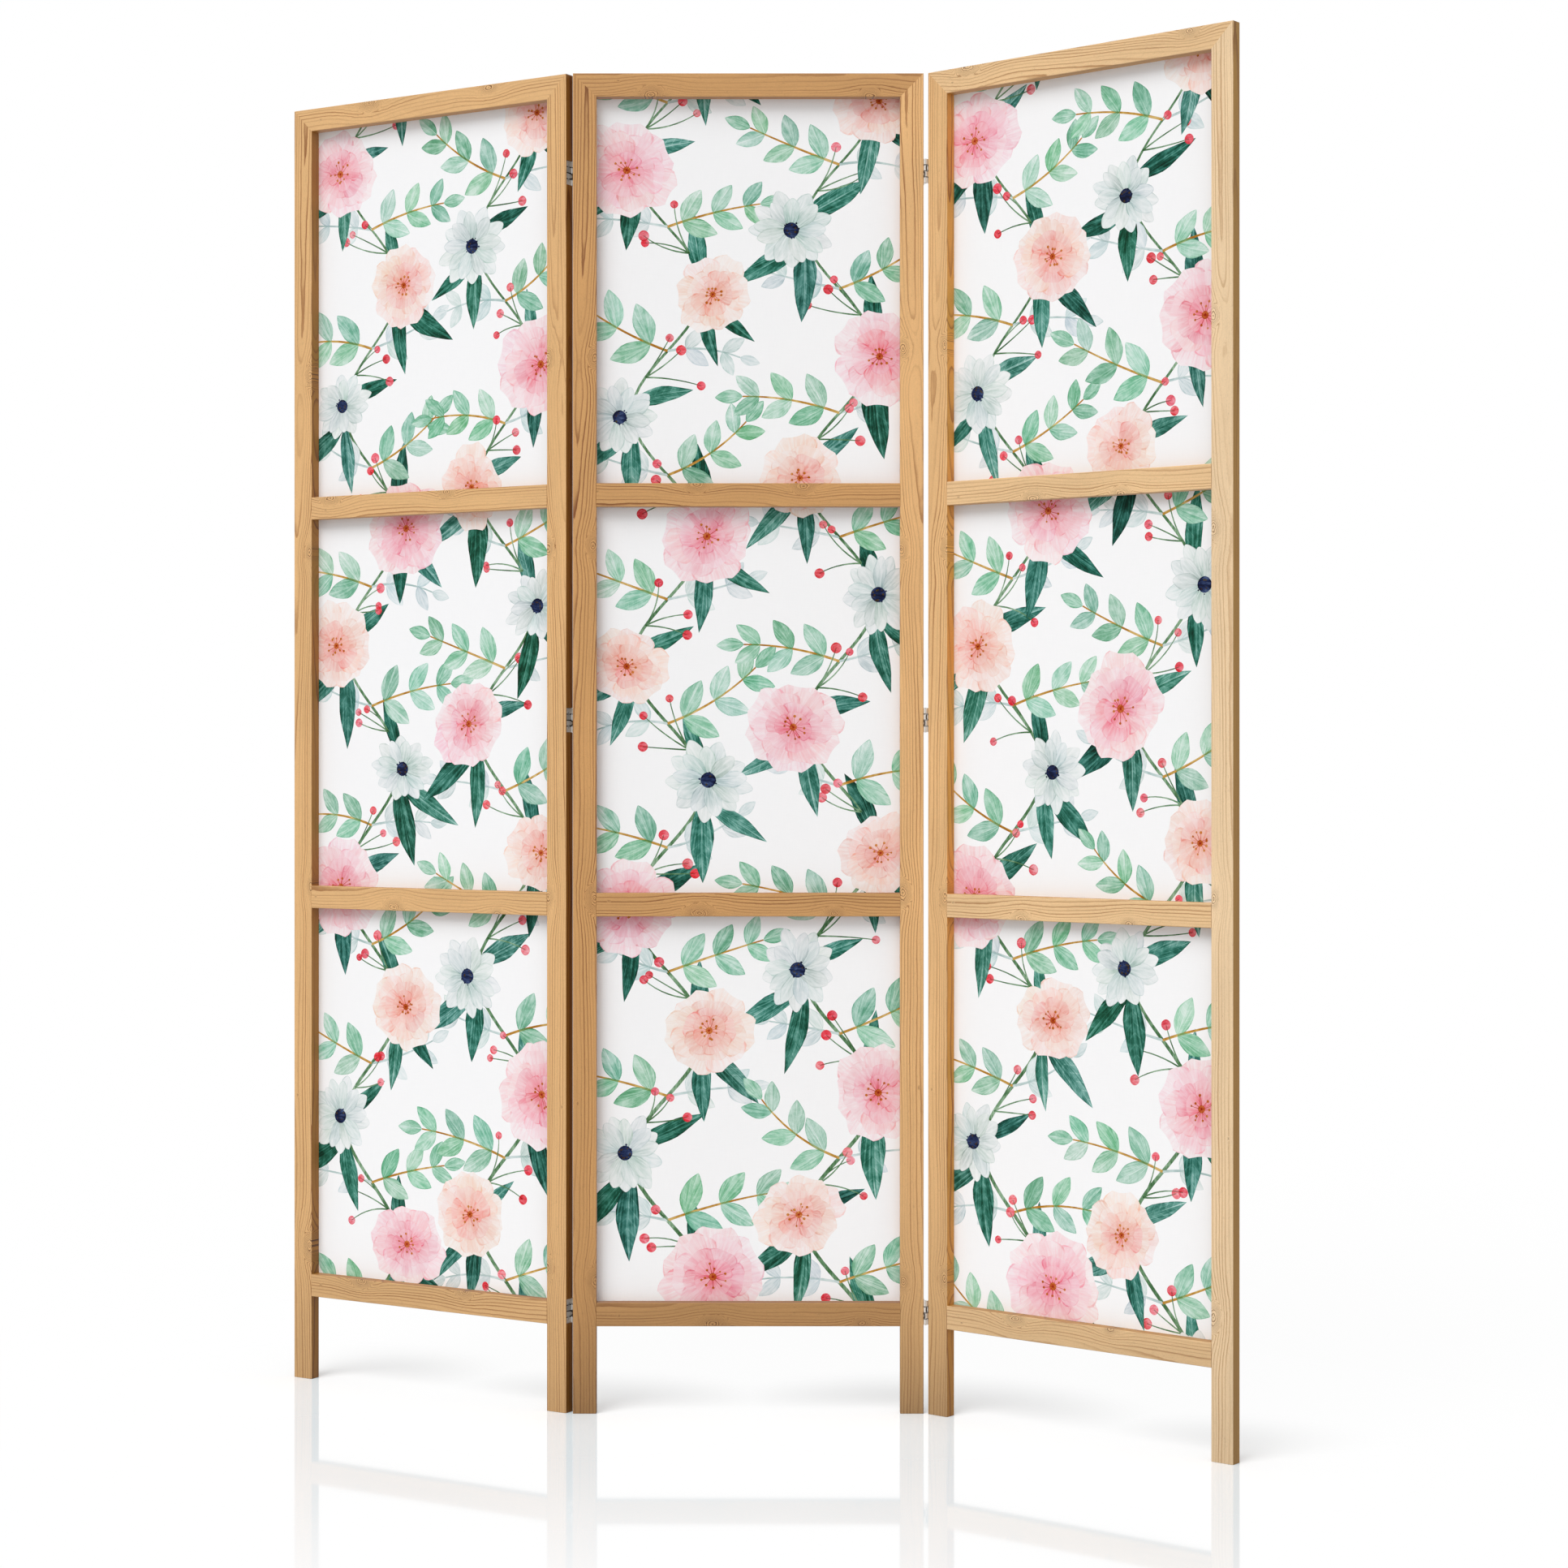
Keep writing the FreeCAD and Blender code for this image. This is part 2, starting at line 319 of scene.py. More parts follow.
def grain_lines(along, across, deep, heart, knots, seed):
    """How dark the late wood is, in rings round the heart that the knots push, and where the knots are."""
    sway = (noise(along * 0.004, across * 0.015, seed) - 0.5) * 8
    swell = (noise(along * 0.003, across * 0.01, seed + 7) - 0.5) * 9
    ripple = (noise(along * 0.05, across * 0.12, seed + 5) - 0.5) * 0.9
    rise = step_between(heart.rise_from, heart.rise_to, along)
    beside = across + sway - heart.across_low - rise * (heart.across_high - heart.across_low)
    behind = deep + swell - heart.deep_low - rise * (heart.deep_high - heart.deep_low)
    from_heart = (beside ** 2 + behind ** 2) ** 0.5 + ripple
    whorls = []
    for knot in knots:
        stretch = (along - knot.along) * 0.6
        wobble = (noise(along * 0.14, across * 0.14, seed + knot.along) - 0.5) * 0.8 * knot.radius
        away = (stretch ** 2 + (across - knot.across) ** 2) ** 0.5 + wobble
        spread = -0.5 * (away / (2.6 * knot.radius + 0.1)) ** 2
        from_heart = from_heart + knot.push * calculated("EXPONENT", spread)
        whorls.append((away, 1 - step_between(0.8 * knot.radius, 2.3 * knot.radius, away)))

    rings = from_heart / RING_MM + noise(across * 0.05, along * 0.002, seed + 3) * 2
    strength = step_between(0.30, 0.70, noise(rings * 0.43, along * 0.002, seed + 11, detail=1))
    for away, inside in whorls:
        rings = rings + inside * (away / KNOT_RING_MM + 0.5 - rings)
    knotty = greatest(*(inside for _, inside in whorls))
    phase = calculated("FRACT", rings)
    late = step_between(0.40, 0.90, phase) * (1 - step_between(0.92, 1.0, phase))
    return late ** 2 * (0.14 + 0.86 * greatest(strength, knotty)), knotty


def pine(name, panel, middle, upright, heart, knots, stick, seed):
    """Planed, oiled pine with its grain along the slat, and with painted shade on its narrow sides and
    towards its feet.
    """
    material = new_material(name)
    tree = material.node_tree
    x, deep, z = local_mm(tree, PLACES[panel] @ middle, PLACES[panel].to_euler().z)
    along, across = (z, x) if upright else (x, z)
    line, knotty = grain_lines(along, across, deep, heart, knots, seed)
    fibre = noise(across * 1.8, deep * 1.8, along * 0.05 + seed, detail=3, roughness=0.75)
    speck = noise(across * 1.1, deep * 1.1, along * 0.8 + seed, detail=4, roughness=0.85)
    cloud = noise(across * 0.03, deep * 0.03, along * 0.006 + seed)
    pore = step_between(0.66, 0.74, noise(across * 1.3, deep * 1.3, along * 0.22 - seed, detail=1))

    dark_line = mixed(knotty, pine_colour(PINE_DARK, stick), srgb(*PINE_KNOT))
    colour = mixed(line, pine_colour(PINE_LIGHT, stick), dark_line)
    # Painted shade: the narrow sides are darkened in the colour itself, stick by stick.
    narrow = 1 - step_between(0.3, 0.6, facing(tree, PLACES[panel].col[1].xyz))
    colour = mixed(narrow, colour, [stick.edge * share for share in PINE_SIDE_SHADE] + [1.0], "MULTIPLY")
    shade = 0.42 + 0.36 * fibre + 0.52 * speck + 0.28 * cloud - 0.16 * pore
    # Painted shade that darkens the wood towards the floor.
    above_floor = z + middle.z / MM
    foot_shade = stick.foot * calculated("EXPONENT", above_floor * (-1 / FOOT_SHADE_MM))
    colour = multiplied(colour, shade * (1 - foot_shade))
    roughness = 0.44 + 0.16 * fibre
    height = 0.2 * fibre - 0.35 * line - 0.3 * pore
    return coat_surface(material, colour, roughness, height, relief=0.25, specular=0.35)


STILE_KNOTS_UP_MM = (1363, 1114, 668, 175)
PIN_DOT_UP_MM = 402


def stile_pine(panel, side, stick, seed):
    """A stile's rings show as nested points near its top, and lower down as lines along its inner side."""
    inward = 1 if side == "left" else -1
    chance = random.Random(seed)
    middle_x = SLAT_WIDTH / 2 if side == "left" else PANEL_WIDTH - SLAT_WIDTH / 2
    middle = Vector((middle_x, SLAT_DEPTH / 2, 0))
    heart = Heart(
        across_low=-inward * chance.uniform(18, 28), across_high=inward * chance.uniform(2, 6),
        deep_low=chance.uniform(8, 14), deep_high=-3, rise_from=800, rise_to=1690,
    )
    knots = []
    for up in STILE_KNOTS_UP_MM:
        along = up + chance.uniform(-9, 9)
        across = inward * chance.uniform(11, 15)
        knots.append(Knot(along, across, chance.uniform(4.4, 6.4), chance.uniform(7, 11)))
    knots.append(Knot(PIN_DOT_UP_MM + chance.uniform(-20, 20), -inward * 9, 0.9, 0))
    return pine(f"pine_{panel}_{side}_stile", panel, middle, True, heart, knots, stick, seed)


def rail_pine(panel, rail, stick, seed):
    """A rail's lines run along it, with a knot or two that one of its edges has cut."""
    chance = random.Random(seed)
    low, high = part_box(f"centre_panel_{rail}")
    middle = Vector((0, SLAT_DEPTH / 2, (low.z + high.z) / 2))
    side = chance.choice((-1, 1))
    heart = Heart(
        across_low=side * chance.uniform(14, 22), across_high=side * chance.uniform(12, 26),
        deep_low=chance.uniform(4, 12), deep_high=chance.uniform(2, 14), rise_from=60, rise_to=390,
    )
    knots = []
    for first, last, radius in ((60, 180, 6.2), (250, 390, 4.6)):
        along = chance.uniform(first, last)
        across = -side * chance.uniform(10, 15)
        size, push = radius * chance.uniform(0.8, 1.2), radius * chance.uniform(1.2, 1.8)
        knots.append(Knot(along, across, size, push))
    knots.append(Knot(chance.uniform(30, 60), chance.uniform(-6, 6), 0.8, 0))
    return pine(f"pine_{panel}_{rail}", panel, middle, False, heart, knots, stick, seed)


STILES = {
    ("left_panel", "left"): Stick(0.95, 1.03, 0.27, 0.76),
    ("left_panel", "right"): Stick(0.95, 1.03, 0.30, 0.72),
    ("centre_panel", "left"): Stick(0.84, 1.28, 0.52, 1.0),
    ("centre_panel", "right"): Stick(1.0, 1.05, 0.57, 1.0),
    ("right_panel", "left"): Stick(0.97, 0.98, 0.47, 1.5),
    ("right_panel", "right"): Stick(0.95, 0.62, 0.20, 0.82),
}
RAIL_STICKS = {
    "left_panel": Stick(0.94, 1.0, 0.28, 1.0),
    "centre_panel": Stick(0.80, 1.25, 0.55, 1.0),
    "right_panel": Stick(0.96, 0.8, 0.33, 1.0),
}


def dress_frames():
    seed = 1
    for panel in PANELS:
        for side in ("left", "right"):
            dressed(f"{panel}_{side}_stile", stile_pine(panel, side, STILES[panel, side], seed))
            seed += 1
        for rail in RAILS:
            dressed(f"{panel}_{rail}", rail_pine(panel, rail, RAIL_STICKS[panel], seed))
            seed += 1


def beech(name):
    """The splines' plain sawn beech, with short dark flecks."""
    material = new_material(name)
    x, y, z = local_mm(material.node_tree, (0, 0, 0), 0)
    fleck = step_between(0.62, 0.72, noise(x * 1.4, y * 1.4, z * 0.3))
    cloud = noise(x * 0.1, y * 0.1, z * 0.1)
    colour = mixed(fleck * 0.5, srgb(214, 172, 130), srgb(160, 112, 76))
    return coat_surface(material, multiplied(colour, 0.9 + 0.2 * cloud), 0.6 + 0.1 * cloud, fleck, 0.1)


# Metal

KNUCKLES = 4
# The colour of the grease and painted shade on a hinge.
GREASE_AND_SHADE = (52, 40, 33)


def knuckle_grease_and_shade(tree, foot, pitch_mm):
    """Where grease and painted shade darken a hinge: between its knuckles, in a line along its pin, and in
    the notches beside the middle two.
    """
    x, _, z = local_mm(tree, foot, 0)
    row = z / pitch_mm
    inside = step_between(0.3, 0.6, row) * (1 - step_between(KNUCKLES - 0.6, KNUCKLES - 0.3, row))
    seam = inside * (1 - step_between(0.3, 1.0, calculated("PINGPONG", row, 0.5) * pitch_mm))
    middle = step_between(0.95, 1.05, row) * (1 - step_between(KNUCKLES - 1.05, KNUCKLES - 0.95, row))
    beside = x * calculated("SINE", row * math.pi)
    notch = middle * step_between(0.1, 0.5, beside) * (1 - step_between(1.5, 2.1, beside))
    line = (1 - step_between(0.15, 0.45, abs(x))) * 0.6
    return greatest(seam, notch, line)


def nickel(name, tint, rough, metallic, hinge=None):
    """Plated steel with fine brush lines and a little dulling, and with grease and painted shade on a
    hinge.
    """
    material = new_material(name)
    x, y, z = local_mm(material.node_tree, (0, 0, 0), 0)
    brush = noise(x * 1.5, y * 1.5, z * 14, detail=3)
    dull = noise(x * 0.35, y * 0.35, z * 0.35, detail=3)
    colour = mixed(dull, srgb(*tint), srgb(*(0.86 * level for level in tint)))
    if hinge:
        # Grease and painted shade at the hinge's seams, its pin line and its notches.
        colour = mixed(knuckle_grease_and_shade(material.node_tree, *hinge), colour, srgb(*GREASE_AND_SHADE))
    colour = multiplied(colour, 0.92 + 0.12 * brush)
    return coat_surface(material, colour, rough + 0.22 * dull, brush, 0.05, metallic=metallic)


def dress_metal():
    pin = nickel("pin_wire", (214, 212, 208), 0.18, 1.0)
    staple = nickel("staple_wire", (196, 196, 194), 0.28, 1.0)
    for joint in frame["joints"]:
        side = side_of(joint)
        for level in HINGE_LEVELS:
            low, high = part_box(f"{side}_hinge_{level}_inner_leaf")
            hinge = (joint["pos_m"][0], 0, low.z), (high.z - low.z) / KNUCKLES / MM
            leaf = nickel(f"nickel_{side}_{level}", (236, 230, 222), 0.26, 0.45, hinge)
            dressed(f"{side}_hinge_{level}_outer_leaf", leaf)
            dressed(f"{side}_hinge_{level}_inner_leaf", leaf)
            dressed(f"{side}_hinge_{level}_pin", pin)
    for panel in PANELS:
        dressed(f"{panel}_staples", staple)
        dressed(f"{panel}_mitre_splines", beech(f"beech_{panel}"))


LEAF_THICKNESS = 1.0 * MM
SCREW_RADIUS = 2.3 * MM
SCREW_CROWN = 0.5 * MM
SCREW_SUNK = 0.3 * MM
SCREW_SPREAD = 18.0 * MM
SCREW_FROM_END = 6.3 * MM
RECESS_ARM = 1.5 * MM
RECESS_HALF_WIDTH = 0.32 * MM
RECESS_DEPTH = 0.45 * MM
SCREW_SIDES = 24


def circle(radius, count):
    steps = [2 * math.pi * i / count for i in range(count)]
    return [(radius * math.cos(step), radius * math.sin(step)) for step in steps]


def cross_outline():
    """The outline of a cross recess, anticlockwise from its right arm."""
    arm, half = RECESS_ARM, RECESS_HALF_WIDTH
    quarter = [(arm, -half), (arm, half), (half, half)]
    turns = ((1, 0), (0, 1), (-1, 0), (0, -1))
    return [(x * c - y * s, x * s + y * c) for c, s in turns for x, y in quarter]


def screw_head(mesh, place):
    """Adds an oval countersunk head with a cross recess to a bmesh, its rim on the xy plane of place."""
    def crown(x, y):
        return SCREW_CROWN * (1 - (x * x + y * y) / SCREW_RADIUS ** 2)

    rim, recess = circle(SCREW_RADIUS, SCREW_SIDES), cross_outline()
    between = circle(0.8 * SCREW_RADIUS, SCREW_SIDES)
    points = [Vector(point) for point in rim + recess + between]
    loops = [list(range(len(rim))), list(range(len(rim), len(rim) + len(recess)))]
    found = delaunay_2d_cdt(points, [], loops, 1, 1e-9, True)
    flat, triangles, origins, owners = found[0], found[2], found[3], found[5]

    def vertex(x, y, up):
        return mesh.verts.new(place @ Vector((x, y, up)))

    top = [vertex(p.x, p.y, crown(p.x, p.y)) for p in flat]
    for triangle, owner in zip(triangles, owners):
        if owner == [0]:
            mesh.faces.new([top[i] for i in triangle])
    floor = [vertex(x, y, crown(x, y) - RECESS_DEPTH) for x, y in recess]
    mesh.faces.new(floor)
    under = [vertex(x, y, -SCREW_SUNK) for x, y in rim]
    mesh.faces.new(under[::-1])
    place_of = {old: i for i, olds in enumerate(origins) for old in olds}
    for loop, other in ((loops[0], under), (loops[1][::-1], floor[::-1])):
        for k in range(len(loop)):
            after = (k + 1) % len(loop)
            here, ahead = top[place_of[loop[k]]], top[place_of[loop[after]]]
            mesh.faces.new([here, other[k], other[after], ahead])


def leaf_faces(joint):
    """The open face of each leaf of a joint's hinges: body, and a frame on it with x up and z out of it."""
    side = side_of(joint)
    pin = Vector(joint["pos_m"])
    inner_way = 1 if side == "left" else -1
    faces = []
    for level in HINGE_LEVELS:
        low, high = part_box(f"{side}_hinge_{level}_inner_leaf")
        barrel = high.x - pin.x if side == "left" else pin.x - low.x
        y = low.y + SCREW_FROM_END if side == "left" else high.y - SCREW_FROM_END
        for way, body in ((inner_way, "centre_panel"), (-inner_way, joint["child"])):
            x = pin.x + way * (barrel - LEAF_THICKNESS)
            axes = Matrix(((0, 0, -way), (0, way, 0), (1, 0, 0))).to_4x4()
            place = Matrix.Translation((x, y, (low.z + high.z) / 2)) @ axes
            faces.append((body, place if body == "centre_panel" else swing_at_rest(joint) @ place))
    return faces


def drive_screws():
    """Two screws in each leaf of each hinge."""
    head = nickel("screw_nickel", (222, 220, 216), 0.22, 1.0)
    for joint in frame["joints"]:
        meshes = {"centre_panel": bmesh.new(), joint["child"]: bmesh.new()}
        for body, face in leaf_faces(joint):
            for end in (-0.5, 0.5):
                up = Matrix.Translation((end * SCREW_SPREAD, 0, 0))
                turn = Matrix.Rotation(0.4 + 0.9 * end, 4, "Z")
                screw_head(meshes[body], face @ up @ turn)
        for body, built in meshes.items():
            leaf = "inner" if body == "centre_panel" else "outer"
            name = f"{side_of(joint)}_hinge_{leaf}_screws"
            data = bpy.data.meshes.new(name)
            built.to_mesh(data)
            built.free()
            data.materials.append(head)
            piece = bpy.data.objects.new(name, data)
            bpy.context.scene.collection.objects.link(piece)
            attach(piece, body)


# The floral print, in millimetres from a canvas's lower left corner

# How a motif is painted: its pigment, how dense it lies, and how much denser at its base, edge and veins.
Paint = namedtuple("Paint", "pigment body base edge vein")

# A leaf, petal or stroke: its outline, and the frame that its shading follows.
Motif = namedtuple("Motif", "outline base heading length half_width bend peak roundness paint")

ROSE_OUTER = Paint(srgb(242, 146, 158), 0.15, 0.52, 0.26, 0.0)
ROSE_INNER = Paint(srgb(236, 112, 130), 0.15, 0.54, 0.26, 0.0)
PEACH_OUTER = Paint(srgb(245, 180, 160), 0.18, 0.52, 0.28, 0.0)
PEACH_INNER = Paint(srgb(240, 146, 136), 0.17, 0.54, 0.28, 0.0)
DAISY_PETAL = Paint(srgb(136, 164, 158), 0.10, 0.46, 0.20, 0.0)
NAVY = Paint(srgb(20, 32, 72), 0.95, 0.0, 0.1, 0.0)
GOLD = Paint(srgb(204, 138, 50), 0.9, 0.1, 0.2, 0.0)
RUST = Paint(srgb(196, 84, 72), 0.75, 0.0, 0.0, 0.0)
DARK_LEAF = Paint(srgb(16, 74, 58), 0.76, 0.26, 0.14, -0.22)
SAGE_LEAF = Paint(srgb(112, 178, 142), 0.58, 0.24, 0.24, -0.16)
MIST_LEAF = Paint(srgb(148, 178, 178), 0.20, 0.20, 0.16, 0.0)
GREEN_STEM = Paint(srgb(74, 116, 74), 0.66, 0.0, 0.2, 0.0)
OCHRE_STEM = Paint(srgb(190, 140, 56), 0.80, 0.0, 0.2, 0.0)
MIST_STEM = Paint(srgb(140, 172, 168), 0.40, 0.0, 0.1, 0.0)
CORAL = Paint(srgb(228, 60, 72), 0.62, 0.3, 0.3, 0.0)


def profile(along, peak, roundness):
    """Half-width of a blade as a share of its widest, from its base at 0 to its tip at 1."""
    return max(0.0, math.sin(math.pi * along ** peak)) ** roundness


# How a blade's two rims wave: by what share of its width, and where in the wave each one starts.
Ruffle = namedtuple("Ruffle", "share left right")
SMOOTH = Ruffle(0.0, 0.0, 0.0)


def ruffled(chance, share):
    return Ruffle(share, chance.uniform(0, 6.3), chance.uniform(0, 6.3))


def blade(base, heading, length, half_width, paint, bend=0.0, peak=1.0, roundness=1.0, notch=0.0, steps=11,
          ruffle=SMOOTH):
    """A leaf or petal that grows from base towards heading, and bends left by bend times its length."""
    turn = complex(math.cos(heading), math.sin(heading))
    start = complex(*base)
    sides = ([], [])
    for i in range(1, steps):
        along = (1 - math.cos(math.pi * i / steps)) / 2
        share = profile(along, peak, roundness)
        dip = notch * max(0.0, 1 - (2 * share) ** 2) if along > 0.5 else 0.0
        spine = complex((along - dip) * length, bend * length * along ** 2)
        for side, points, phase in zip((1, -1), sides, (ruffle.left, ruffle.right)):
            wavy = share * (1 + ruffle.share * math.sin(phase + 12 * along))
            points.append(start + turn * (spine + complex(0, side * half_width * wavy)))
    tip = start + turn * complex((1 - notch) * length, bend * length)
    ring = [start] + sides[1] + [tip] + sides[0][::-1]
    outline = [(p.real, p.imag) for p in ring]
    return Motif(outline, base, heading, length, half_width, bend, peak, roundness, paint)


def dot(centre, radius, paint, steps=5):
    return blade((centre[0] - radius, centre[1]), 0, 2 * radius, radius, paint, roundness=0.5, steps=steps)


def stroke(points, half_width, paint):
    """A stem painted along points, a little thinner towards its end."""
    left, right = [], []
    for i, point in enumerate(points):
        before = points[max(i - 1, 0)]
        after = points[min(i + 1, len(points) - 1)]
        way = complex(after[0] - before[0], after[1] - before[1])
        reach = half_width * (1 - 0.45 * i / (len(points) - 1))
        side = way / abs(way) * 1j * reach
        left.append((point[0] + side.real, point[1] + side.imag))
        right.append((point[0] - side.real, point[1] - side.imag))
    way = complex(points[-1][0] - points[0][0], points[-1][1] - points[0][1])
    heading = math.atan2(way.imag, way.real)
    return Motif(right + left[::-1], points[0], heading, abs(way), half_width, 0.0, 1.0, 0.1, paint)


def curve(start, heading, length, bend, steps=9):
    """Points along a stem that leaves start towards heading and turns by bend radians on its way."""
    points = [start]
    for i in range(steps):
        way = heading + bend * (i + 0.5) / steps
        x, y = points[-1]
        points.append((x + math.cos(way) * length / steps, y + math.sin(way) * length / steps))
    return points


def thinned(chance, paint):
    """The same paint with a little more or less water in it, and not quite the same hue."""
    pigment = [min(level * chance.uniform(0.9, 1.1), 1.0) for level in paint.pigment[:3]]
    body, base = paint.body * chance.uniform(0.65, 1.3), paint.base * chance.uniform(0.6, 1.25)
    return paint._replace(pigment=pigment, body=body, base=base)


def petal_ring(chance, centre, turn, count, length, half_width, paint, squash, **form):
    """Petals round a centre, squashed along one way as a bloom that looks aside."""
    lean, flat = squash
    petals = []
    for k in range(count):
        heading = turn + 2 * math.pi * k / count + chance.uniform(-0.09, 0.09)
        tip = complex(math.cos(heading - lean), flat * math.sin(heading - lean))
        side = complex(-math.sin(heading - lean), flat * math.cos(heading - lean))
        heading = lean + math.atan2(tip.imag, tip.real)
        reach = length * abs(tip) * chance.uniform(0.92, 1.05)
        width = half_width * abs(side) * chance.uniform(0.92, 1.06)
        bend, ruffle = chance.uniform(-0.09, 0.09), ruffled(chance, 0.07)
        paint_here = thinned(chance, paint)
        petals.append(blade(centre, heading, reach, width, paint_here, bend, ruffle=ruffle, **form))
    return petals


STAMENS = 11
DAISY_PETALS = 9
DAISY_FLECKS = 12


def rose(chance, centre, radius, outer, inner):
    """A double rose: four rings of broad notched petals round golden stamens."""
    turn = chance.uniform(0, 2 * math.pi)
    squash = (chance.uniform(0, math.pi), chance.uniform(0.78, 1.0))
    form = {"peak": 1.55, "roundness": 0.55, "steps": 18}
    motifs = []
    for start, count, length, width, paint, notch in (
        (0.0, 6, 1.0, 0.47, outer, 0.10),
        (0.5, 6, 0.80, 0.38, outer, 0.08),
        (0.2, 5, 0.58, 0.31, inner, 0.06),
        (0.7, 4, 0.36, 0.21, inner, 0.0),
    ):
        size = length * radius, width * radius
        motifs += petal_ring(chance, centre, turn + start, count, *size, paint, squash, notch=notch, **form)
    for k in range(STAMENS):
        heading = turn + 2 * math.pi * k / STAMENS + chance.uniform(-0.15, 0.15)
        reach = radius * chance.uniform(0.13, 0.24)
        spine = curve(centre, heading, reach, chance.uniform(-0.4, 0.4), 3)
        motifs.append(stroke(spine, 0.55, RUST))
        motifs.append(dot(spine[-1], chance.uniform(1.3, 2.0), GOLD, 4))
    motifs.append(dot(centre, 0.07 * radius, GOLD, 7))
    return motifs


def daisy(chance, centre, radius):
    """A pale daisy with two rings of slim petals and a navy heart that is flecked with gold."""
    turn = chance.uniform(0, 2 * math.pi)
    squash = (chance.uniform(0, math.pi), chance.uniform(0.82, 1.0))
    form = {"peak": 1.3, "roundness": 0.6, "steps": 12}
    motifs = []
    for start, length, width in ((0.0, 1.0, 0.22), (0.35, 0.86, 0.2)):
        size = length * radius, width * radius
        motifs += petal_ring(chance, centre, turn + start, DAISY_PETALS, *size, DAISY_PETAL, squash, **form)
    heart = 0.18 * radius
    motifs.append(dot(centre, heart, NAVY, 9))
    for k in range(DAISY_FLECKS):
        heading = 2 * math.pi * k / DAISY_FLECKS + chance.uniform(-0.2, 0.2)
        reach = heart * chance.uniform(0.45, 1.15)
        spot = (centre[0] + reach * math.cos(heading), centre[1] + reach * math.sin(heading))
        motifs.append(dot(spot, chance.uniform(0.9, 1.5), GOLD if reach < 0.8 * heart else NAVY, 4))
    return motifs


def sprig(chance, start, heading, length, pairs, leaf, stem):
    """Oval leaves in pairs along a stem, with one at its tip."""
    spine = curve(start, heading, length, chance.uniform(-0.6, 0.6), 4 * pairs)
    motifs = [stroke(spine, 1.7, stem)]
    for k in range(1, pairs + 1):
        here, nearby = spine[4 * k - 2], spine[4 * k - 3]
        way = math.atan2(here[1] - nearby[1], here[0] - nearby[0])
        size = length * (0.42 - 0.035 * k)
        for side in (1, -1):
            lean = way + side * chance.uniform(0.7, 1.0)
            bend = -side * chance.uniform(0.02, 0.14)
            form = {"peak": 0.9, "roundness": 0.8, "steps": 14, "ruffle": ruffled(chance, 0.03)}
            motifs.append(blade(here, lean, size, size * 0.25, thinned(chance, leaf), bend, **form))
    way = math.atan2(spine[-1][1] - spine[-2][1], spine[-1][0] - spine[-2][0])
    motifs.append(blade(spine[-1], way, length * 0.28, length * 0.07, leaf, 0.05, 0.9, 0.8, steps=13))
    return motifs


def leaf_fan(chance, start, heading, length, count):
    """One or two dark pointed leaves from one place."""
    motifs = []
    for lean in (-0.5, 0.45)[:count]:
        way = heading + lean + chance.uniform(-0.15, 0.15)
        size = length * chance.uniform(0.8, 1.05)
        bend = chance.uniform(-0.18, 0.18)
        paint = thinned(chance, DARK_LEAF)
        width, ruffle = size * chance.uniform(0.11, 0.15), ruffled(chance, 0.06)
        motifs.append(blade(start, way, size, width, paint, bend, 0.85, 0.95, steps=15, ruffle=ruffle))
    return motifs


def berries(chance, start, heading, length):
    """A forked spray of coral berries."""
    motifs = []
    tips = []
    for lean in (-0.5, 0.0, 0.45):
        reach, bend = length * chance.uniform(0.7, 1.0), chance.uniform(-0.7, 0.7)
        spine = curve(start, heading + lean, reach, bend, 7)
        motifs.append(stroke(spine, 1.1, GREEN_STEM))
        tips.append(spine[-1])
    for tip in tips:
        motifs.append(dot(tip, chance.uniform(5.0, 7.2), thinned(chance, CORAL), 8))
    return motifs


# From bloom to bloom along a stem, how far it sways, how finely it is drawn, and the least and greatest
# sizes of what grows on it.
VINE_PITCH_MM = 160
VINE_SWING_MM = 46
VINE_STEP_MM = 12
ROSE_RADII_MM = (66, 76)
PEACH_RADII_MM = (56, 66)
DAISY_RADII_MM = (50, 57)
LOWER_LEAF_MM = (100, 118)
UPPER_LEAF_MM = (88, 105)
SAGE_SPRIG_MM = (120, 145)
MIST_SPRIG_MM = (90, 110)
BERRY_SPRAY_MM = (56, 78)


